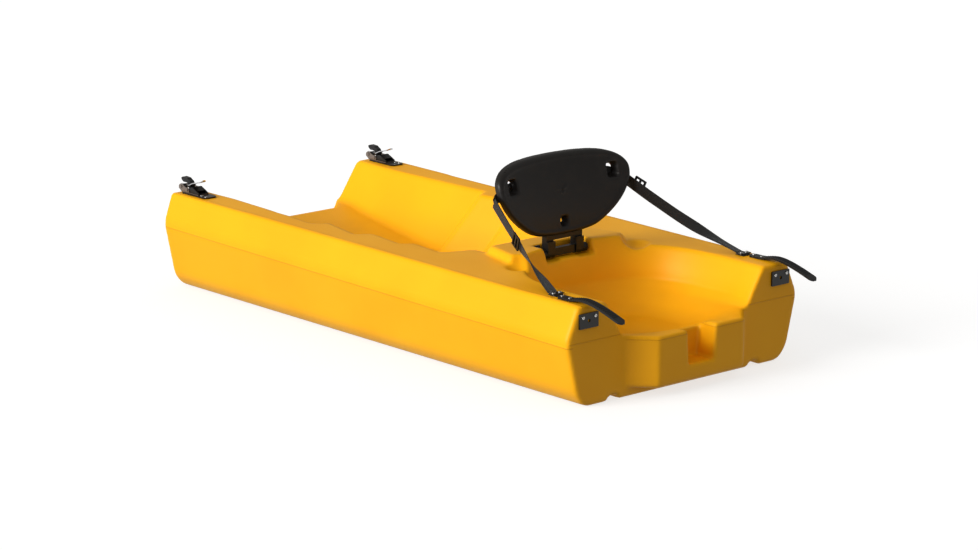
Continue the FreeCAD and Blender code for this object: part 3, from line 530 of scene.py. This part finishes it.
def footwell_void(s, w, z):
    """Sloping walls whose plan steps in at each foot brace, over a floor that falls to the bow."""
    below = deck_z(s - HALF_LENGTH) - z
    lean = BRACE_LEAN * np.clip((s - LEAN_START) / (LEAN_FULL - LEAN_START), 0.0, 1.0)
    plan = s + lean * below
    slope = well_half_slope(plan)
    steepness = np.sqrt(1 + slope ** 2 + (WALL_RUN - slope * lean) ** 2)
    side = (w - well_half(plan) + below * WALL_RUN) / steepness
    floor = (well_floor(s) - z) / over(well_floor_slope(s))
    return soft_max(side, floor, 16.0)


def oval(s, w, centre, half, ahead, behind, power):
    """Superellipse ((s - c) / b) ** n + (w / a) ** n = 1, as a rough distance."""
    u = (s - centre) / np.where(s > centre, ahead, behind)
    v = w / half
    size = (np.abs(u) ** power + np.abs(v) ** power + 1e-9) ** (1 / power)
    gu = np.abs(u / size) ** (power - 1) / np.where(s > centre, ahead, behind)
    gv = np.abs(v / size) ** (power - 1) / half
    return (size - 1) / np.sqrt(gu * gu + gv * gv + 1e-9)


def grown(start, share):
    """A size given as (value, growth) at a share of the way up."""
    return start[0] + start[1] * share


def seat_void(s, w, z):
    """Upper well open to the bow, and a bowl below the tongue's top."""
    t = np.clip((z - TONGUE_Z) / (SHELF_Z - TONGUE_Z), -0.6, 1.6)
    upper = oval(s, w, grown(WELL_MIDDLE, t), grown(WELL_HALF, t), WELL_OPEN, grown(WELL_BEHIND, t),
                 WELL_POWER) * WELL_EASE
    upper = soft_max(upper, TONGUE_Z - z, 12.0)
    t = np.clip((z - BOWL_Z) / (TONGUE_Z - BOWL_Z), -0.6, 1.3)
    bowl = oval(s, w, grown(BOWL_MIDDLE, t), grown(BOWL_HALF, t), grown(BOWL_AHEAD, t),
                grown(BOWL_BEHIND, t), grown(BOWL_POWER, t)) * BOWL_EASE
    bowl = soft_max(bowl, BOWL_Z - z, 22.0)
    return soft_min(upper, bowl, 26.0)


def joint_voids(x, w, z):
    """Notch in the tongue, socket in the stern and the two channels along the bottom."""
    front = HALF_LENGTH + TONGUE_REACH
    slot_half = NOTCH_HALF + (z - NOTCH_FLOOR) * NOTCH_FLARE
    slot = soft_max(w - slot_half, front - NOTCH_DEPTH - x, 6.0)
    slot = soft_max(slot, NOTCH_FLOOR - z, 8.0)
    corner = SOCKET_X + TONGUE_HALF + JOINT_CLEARANCE
    socket = soft_max(x - SOCKET_X, (x + w - corner) / math.sqrt(2), 5.0)
    socket = soft_max(socket, w - TONGUE_ROOT_HALF - JOINT_CLEARANCE, 5.0)
    foot, ceiling = (CHANNEL_FOOT_HALF, CHANNEL_FOOT_Z), (CHANNEL_HALF, CHANNEL_DEPTH)
    channel = plane(np.abs(w - CHANNEL_Y), z, foot, ceiling)
    channel = soft_max(channel, z - CHANNEL_DEPTH, 4.0)
    return slot, socket, channel


def key_block(x, w, z):
    """Key in the middle of the socket, its top rising from its tip to its root."""
    run = SOCKET_X - KEY_X
    top = KEY_TIP_Z + np.clip(x - KEY_X, 0.0, run) * KEY_RISE / run
    body = soft_max(w - NOTCH_HALF + JOINT_CLEARANCE, KEY_X - x, 7.0)
    body = soft_max(body, z - top, 7.0)
    body = soft_max(body, NOTCH_FLOOR + JOINT_CLEARANCE - z, 7.0)
    return np.maximum(body, x - KEY_ROOT_X)


def pocket_void(x, w, z):
    """Pocket and two deeper grooves for the backrest's foot, and the hand scoops beside the seat."""
    front = np.maximum(x - POCKET_END_X, POCKET_X - x)
    pocket = soft_max(np.maximum(front, w - POCKET_HALF), POCKET_Z - z, 3.0)
    groove = np.maximum(np.maximum(front, np.abs(w - GROOVE_Y) - GROOVE_HALF), GROOVE_Z - z)
    scoop = np.sqrt((x - SCOOP_X) ** 2 + (w - SCOOP_Y) ** 2 + (z - SCOOP_Z) ** 2) - SCOOP_R
    return soft_min(pocket, groove, 2.0), scoop


def hull_field(x, y, z):
    """The whole hull: rounded unions of its blocks, less its voids."""
    w = np.sqrt(y * y + 1e-6)
    s = x + HALF_LENGTH
    body = soft_min(outer_block(x, w, z), shelf_block(s, w, z), 8.0)
    body = soft_min(body, tongue_block(x, w, z), 6.0)
    slot, socket, channel = joint_voids(x, w, z)
    pocket, scoop = pocket_void(x, w, z)
    voids = ((footwell_void(s, w, z), 5.0), (seat_void(s, w, z), 6.0), (slot, 7.0), (socket, 4.0),
             (channel, 4.0), (pocket, 5.0), (scoop, 9.0))
    for void, rounding in voids:
        body = soft_max(body, -void, rounding)
    return soft_min(body, key_block(x, w, z), 5.0)


HULL_NET_LOW, HULL_NET_HIGH, HULL_NET_STEP = (-770, -379.75, -7), (826, 379.75, 270), 7.0


def hull():
    """Surface of the whole hull."""
    verts, faces = net(hull_field, HULL_NET_LOW, HULL_NET_HIGH, HULL_NET_STEP)
    piece("hull_skin", verts, faces, "hull_polyethylene", "hull", ["hull_shell"])


# ---------------------------------------------------------------- backrest
SHELL_OUTLINE = ((0, 472), (90, 470), (146, 464), (185, 451), (207, 430), (209, 404), (199, 379),
                 (182, 353), (157, 328), (128, 307), (96, 291), (52, 283), (0, 281))
SHELL_CENTRE_Z = 385.0
SHELL_X, SHELL_FOOT_Z, SHELL_LEAN, SHELL_DISH = 349.0, 280.0, 0.0011, 0.00054
SHELL_T, SHELL_DEPTH, SHELL_RIM, SHELL_COLLAR = 5.0, 20.0, 4.5, 9.0
SLOT_Y, SLOT_Z, SLOT_HALF_Y, SLOT_HALF_Z = 161.0, 416.0, 17.0, 19.0
HOLE_Z, HOLE_HALF_Y, HOLE_HALF_Z = 313.0, 13.0, 13.5
WINDOW_TAPER = 0.42                     # the windows narrow towards the back
RIM_SWELL, RIM_SWELL_IN, RIM_SWELL_WIDTH = 1.6, 9.0, 5.0
LEG_ROOM_HALF, LEG_ROOM_TOP = 58.3, 295.5
SHELL_NET_LOW, SHELL_NET_HIGH, SHELL_NET_STEP = (278, -215.3, 276), (386, 215.3, 480), 2.9


def shell_x(y, z):
    """Front face of the backrest: leans back with height and wraps forward with half width."""
    return SHELL_X - SHELL_LEAN * (z - SHELL_FOOT_Z) ** 2 + SHELL_DISH * y * y


def shell_reach():
    """Radius of the backrest's outline about its centre against the angle, and its slope.

    The outline is a Catmull-Rom curve through SHELL_OUTLINE and its mirror image.
    """
    half = np.array(SHELL_OUTLINE, float)
    closed = np.vstack([half, (half * (-1, 1))[-2:0:-1]])
    t = np.linspace(0, 1, 20, endpoint=False)[None, :, None]
    a, b, c, d = (np.roll(closed, shift, axis=0)[:, None] for shift in (1, 0, -1, -2))
    curve = b + 0.5 * t * (c - a + t * (2 * a - 5 * b + 4 * c - d + t * (3 * (b - c) + d - a)))
    y, z = curve.reshape(-1, 2).T
    angle, radius = np.arctan2(z - SHELL_CENTRE_Z, np.abs(y)), np.hypot(y, z - SHELL_CENTRE_Z)
    order = np.argsort(angle)
    fine = np.linspace(-np.pi / 2, np.pi / 2, 361)
    value = np.interp(fine, angle[order], radius[order])
    slope = np.gradient(value, fine)
    return (lambda at: np.interp(at, fine, value)), (lambda at: np.interp(at, fine, slope))


def window_field(y, z, centre_y, centre_z, half_y, half_z):
    """Rounded square in the backrest's face: max(|y| - a, |z| - b) with soft corners."""
    return soft_max(np.abs(y - centre_y) - half_y, np.abs(z - centre_z) - half_z, 9.0)


def backrest_field(reach, reach_slope):
    """Dished panel with a deep rim, collars round its windows and a rounded front edge."""
    def field(x, y, z):
        w = np.sqrt(y * y + 1e-6)
        radius = np.hypot(w, z - SHELL_CENTRE_Z) + 1e-6
        angle = np.arctan2(z - SHELL_CENTRE_Z, w)
        outline = (radius - reach(angle)) / over(reach_slope(angle) / radius)
        lean, dish = 2 * SHELL_LEAN * (z - SHELL_FOOT_Z), 2 * SHELL_DISH * y
        behind = (shell_x(y, z) - x) / np.sqrt(1 + lean ** 2 + dish ** 2)
        slot = window_field(w, z, SLOT_Y, SLOT_Z, SLOT_HALF_Y, SLOT_HALF_Z)
        hole = window_field(w, z, 0.0, HOLE_Z, HOLE_HALF_Y, HOLE_HALF_Z)
        windows = np.minimum(slot, hole) + WINDOW_TAPER * np.clip(behind, 0.0, SHELL_DEPTH)
        swell = RIM_SWELL * np.exp(-((outline + RIM_SWELL_IN) / RIM_SWELL_WIDTH) ** 2)
        front = soft_max(-behind - swell, outline, 9.0)
        solid = soft_max(front, behind - SHELL_DEPTH, 3.0)
        hollow = soft_max(outline + SHELL_RIM, SHELL_T - behind, 3.0)
        hollow = soft_max(hollow, SHELL_COLLAR - windows, 2.0)
        foot = np.maximum(np.maximum(w - LEG_ROOM_HALF, z - LEG_ROOM_TOP), SHELL_T - behind)
        return soft_max(soft_max(solid, -soft_min(hollow, foot, 2.0), 2.0), -windows, 4.0)
    return field


def backrest():
    """Surface of the backrest's shell."""
    field = backrest_field(*shell_reach())
    verts, faces = net(field, SHELL_NET_LOW, SHELL_NET_HIGH, SHELL_NET_STEP)
    piece("backrest_skin", verts, faces, "backrest_plastic", "backrest", ["backrest_shell"])


# ---------------------------------------------------------------- webbing
STRAP_W, STRAP_T = 25.0, 2.2
STRAP_SAG = 9.0
STRAP_STEP = 3.0
ANCHOR_X, ANCHOR_Y = 648.0, 303.0
STRAP_TOP_X, STRAP_TOP_Y, STRAP_TOP_Z = 332.0, 213.0, 385.0
# share of the seat strap's length, turn from upright in degrees, width as it folds
STRAP_TWIST = ((0.0, 0, 27), (0.2, 2, 27), (0.45, 5, 26), (0.6, 24, 25), (0.72, 58, 23), (0.84, 84, 24),
               (1.0, 90, 25))
LOOP_SPOTS = ((134, 412), (162, 409), (188, 400))
LOOP_BEHIND, LOOP_TURN_X, LOOP_TURN_Y, LOOP_TURN_Z = 4.6, 327.0, 204.0, 391.0


def smooth_path(points, count):
    """Evenly spaced rows along a polyline, with its corners eased by repeated averaging of neighbours."""
    points = np.asarray(points, float)
    length = np.r_[0, np.cumsum(np.linalg.norm(np.diff(points[:, :3], axis=0), axis=1))]
    where = np.linspace(0, length[-1], count)
    rows = np.stack([np.interp(where, length, column) for column in points.T], 1)
    for _ in range(count // 3):
        rows[1:-1] = 0.5 * rows[1:-1] + 0.25 * (rows[:-2] + rows[2:])
    return rows


def ribbon(name, rows, body, replaced=()):
    """Flat webbing along rows of (x, y, z, turn, width). Its section is STRAP_T thick with eased edges.

    turn is the angle from upright to level, in degrees. U of the weave runs across and V along.
    """
    rows = np.asarray(rows, float)
    span = np.linalg.norm(np.diff(rows[:, :3], axis=0), axis=1).sum()
    path = smooth_path(rows, max(12, int(span / STRAP_STEP)))
    centre, turn, width = path[:, :3], np.radians(path[:, 3]), path[:, 4]
    ahead = np.gradient(centre, axis=0)
    ahead /= np.linalg.norm(ahead, axis=1)[:, None]
    level = np.cross(ahead, (0, 0, 1))
    level /= np.linalg.norm(level, axis=1)[:, None]
    upright = np.cross(level, ahead)
    wide = upright * np.cos(turn)[:, None] + level * np.sin(turn)[:, None]
    thick = np.cross(ahead, wide)
    across = np.linspace(-1, 1, 13)
    edge = np.sqrt(np.clip(1 - np.abs(across) ** 8, 0.12, 1)) * STRAP_T / 2
    section = np.vstack([np.c_[across, edge], np.c_[across[::-1], -edge[::-1]]])
    count = len(section)
    verts = (centre[:, None] + wide[:, None] * (section[:, 0, None] * width[:, None, None] / 2)
             + thick[:, None] * section[:, 1, None]).reshape(-1, 3)
    run = np.r_[0, np.cumsum(np.linalg.norm(np.diff(centre, axis=0), axis=1))]
    weave = np.stack(np.broadcast_arrays(section[None, :, 0] * STRAP_W / 2, run[:, None]), -1)
    ring, along = np.arange(count), np.arange(len(path) - 1)[:, None]
    a, b = along * count + ring, along * count + (ring + 1) % count
    faces = np.stack([a, b, b + count, a + count], -1).reshape(-1, 4)
    half = count // 2
    cap = np.array([[i, count - 1 - i, count - 2 - i, i + 1] for i in range(half - 1)])
    last = (len(path) - 1) * count
    faces = np.vstack([faces, cap, cap[:, ::-1] + last])
    return piece(name, verts, faces[:, ::-1], "webbing", body, replaced, weave.reshape(-1, 2))


def level_webbing(name, points, replaced=()):
    """Webbing that lies flat on the deck through points."""
    ribbon(name, [(*p, 90, STRAP_W) for p in points], "hull", replaced)


def seat_straps():
    """Strap from each edge of the backrest to the deck, the fold under its plate, and the loop behind."""
    deck = deck_z(ANCHOR_X)
    for name, side in SIDES:
        y = side * ANCHOR_Y
        top = np.array((STRAP_TOP_X, side * STRAP_TOP_Y, STRAP_TOP_Z))
        foot = np.array((ANCHOR_X - 14.0, y, deck + 5.0))
        rows = [(*(top + (foot - top) * t - (0, 0, STRAP_SAG * math.sin(math.pi * t))), side * -turn, width)
                for t, turn, width in STRAP_TWIST]
        strap = ribbon("seat_webbing_" + name, rows, None, ["seat_strap_" + name])
        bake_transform(strap)
        fold = [(foot[0] - 1, y, deck + 5.2), (ANCHOR_X - 4, y, deck + 3.6), (ANCHOR_X + 9, y, deck + 3.4)]
        level_webbing("webbing_fold_" + name, fold, ["strap_fold_" + name])
        tail = [(ANCHOR_X - 16, y, deck + 1.3), (ANCHOR_X + 10, y, deck + 1.3)]
        level_webbing("webbing_tail_" + name, tail)
        loop = [(shell_x(w, z) - SHELL_DEPTH - LOOP_BEHIND, side * w, z) for w, z in LOOP_SPOTS]
        loop += [(LOOP_TURN_X, side * LOOP_TURN_Y, LOOP_TURN_Z), tuple(top)]
        rows = [(*p, 0, STRAP_W) for p in loop]
        ribbon("webbing_loop_" + name, rows, "backrest", ["strap_loop_" + name])


hull()
backrest()
seat_straps()


# ---------------------------------------------------------------- floor, light and camera
KEY_FROM, KEY_STRENGTH, KEY_SPREAD = (-0.25, -1.07, 0.42), 3.3, 32.0
SKY_LOW, SKY_RISE = 0.25, 0.27
FLOOR_HALF, FLOOR_GLOW = 40.0, 0.74
VIEW_AZIMUTH, VIEW_ELEVATION, VIEW_ROLL = 48.371, 13.809, 0.262
VIEW_DISTANCE, VIEW_RIGHT, VIEW_UP, VIEW_LENS = 8586.37, 50.723, 112.783, 127.59


def key_light():
    """One broad sun from starboard."""
    data = bpy.data.lights.new("key_light", "SUN")
    data.energy = KEY_STRENGTH
    data.angle = math.radians(KEY_SPREAD)
    obj = bpy.data.objects.new("key_light", data)
    obj.rotation_euler = mathutils.Vector([-v for v in KEY_FROM]).to_track_quat("-Z", "Y").to_euler()
    bpy.context.scene.collection.objects.link(obj)


def camera():
    """Camera 8.6 m off and 13.8 degrees up, 48.4 degrees from abeam to starboard towards the bow."""
    azimuth, elevation, roll = (math.radians(v) for v in (VIEW_AZIMUTH, VIEW_ELEVATION, VIEW_ROLL))
    back = np.array([math.sin(azimuth) * math.cos(elevation), -math.cos(azimuth) * math.cos(elevation),
                     math.sin(elevation)])
    right = np.array([math.cos(azimuth), math.sin(azimuth), 0.0])
    up = np.cross(back, right)
    c, s = math.cos(roll), math.sin(roll)
    right, up = right * c + up * s, up * c - right * s
    centre = (back * VIEW_DISTANCE + right * VIEW_RIGHT + up * VIEW_UP) * MM
    data = bpy.data.cameras.new("camera")
    data.sensor_width = 36.0
    data.lens = VIEW_LENS
    data.clip_end = 60.0
    obj = bpy.data.objects.new("camera", data)
    matrix = mathutils.Matrix.Identity(4)
    for row in range(3):
        matrix[row][0], matrix[row][1], matrix[row][2] = right[row], up[row], back[row]
        matrix[row][3] = centre[row]
    obj.matrix_world = matrix
    bpy.context.scene.collection.objects.link(obj)
    bpy.context.scene.camera = obj


def floor():
    """White paper floor that glows a little, so that only soft shadows show on it."""
    h = FLOOR_HALF
    mesh = bpy.data.meshes.new("floor")
    mesh.from_pydata([(-h, -h, 0), (h, -h, 0), (h, h, 0), (-h, h, 0)], [], [(0, 1, 2, 3)])
    paint = Paint("floor_paper", (150, 150, 150), 0.95)
    paint.put("Emission Color", (1.0, 1.0, 1.0, 1.0))
    paint.put("Emission Strength", FLOOR_GLOW)
    mesh.materials.append(paint.material)
    obj = bpy.data.objects.new("floor", mesh)
    obj.location = (0, 0, -0.0005)
    obj.visible_diffuse = False
    bpy.context.scene.collection.objects.link(obj)


def sky():
    """Even white light that is brighter from above than from below."""
    world = bpy.data.worlds.new("studio")
    bpy.context.scene.world = world
    world.use_nodes = True
    tree = world.node_tree
    spot = tree.nodes.new("ShaderNodeTexCoord")
    split = tree.nodes.new("ShaderNodeSeparateXYZ")
    tree.links.new(spot.outputs["Generated"], split.inputs[0])
    height = Wire(tree, split.outputs["Z"]).step(-0.15, 0.25)
    backdrop = tree.nodes["Background"]
    backdrop.inputs["Color"].default_value = (1.0, 0.985, 0.96, 1.0)
    tree.links.new((height * SKY_RISE + SKY_LOW).socket, backdrop.inputs["Strength"])


floor()
sky()
key_light()
camera()
bpy.context.scene.view_settings.view_transform = "Standard"
bpy.context.scene.view_settings.gamma = 0.85
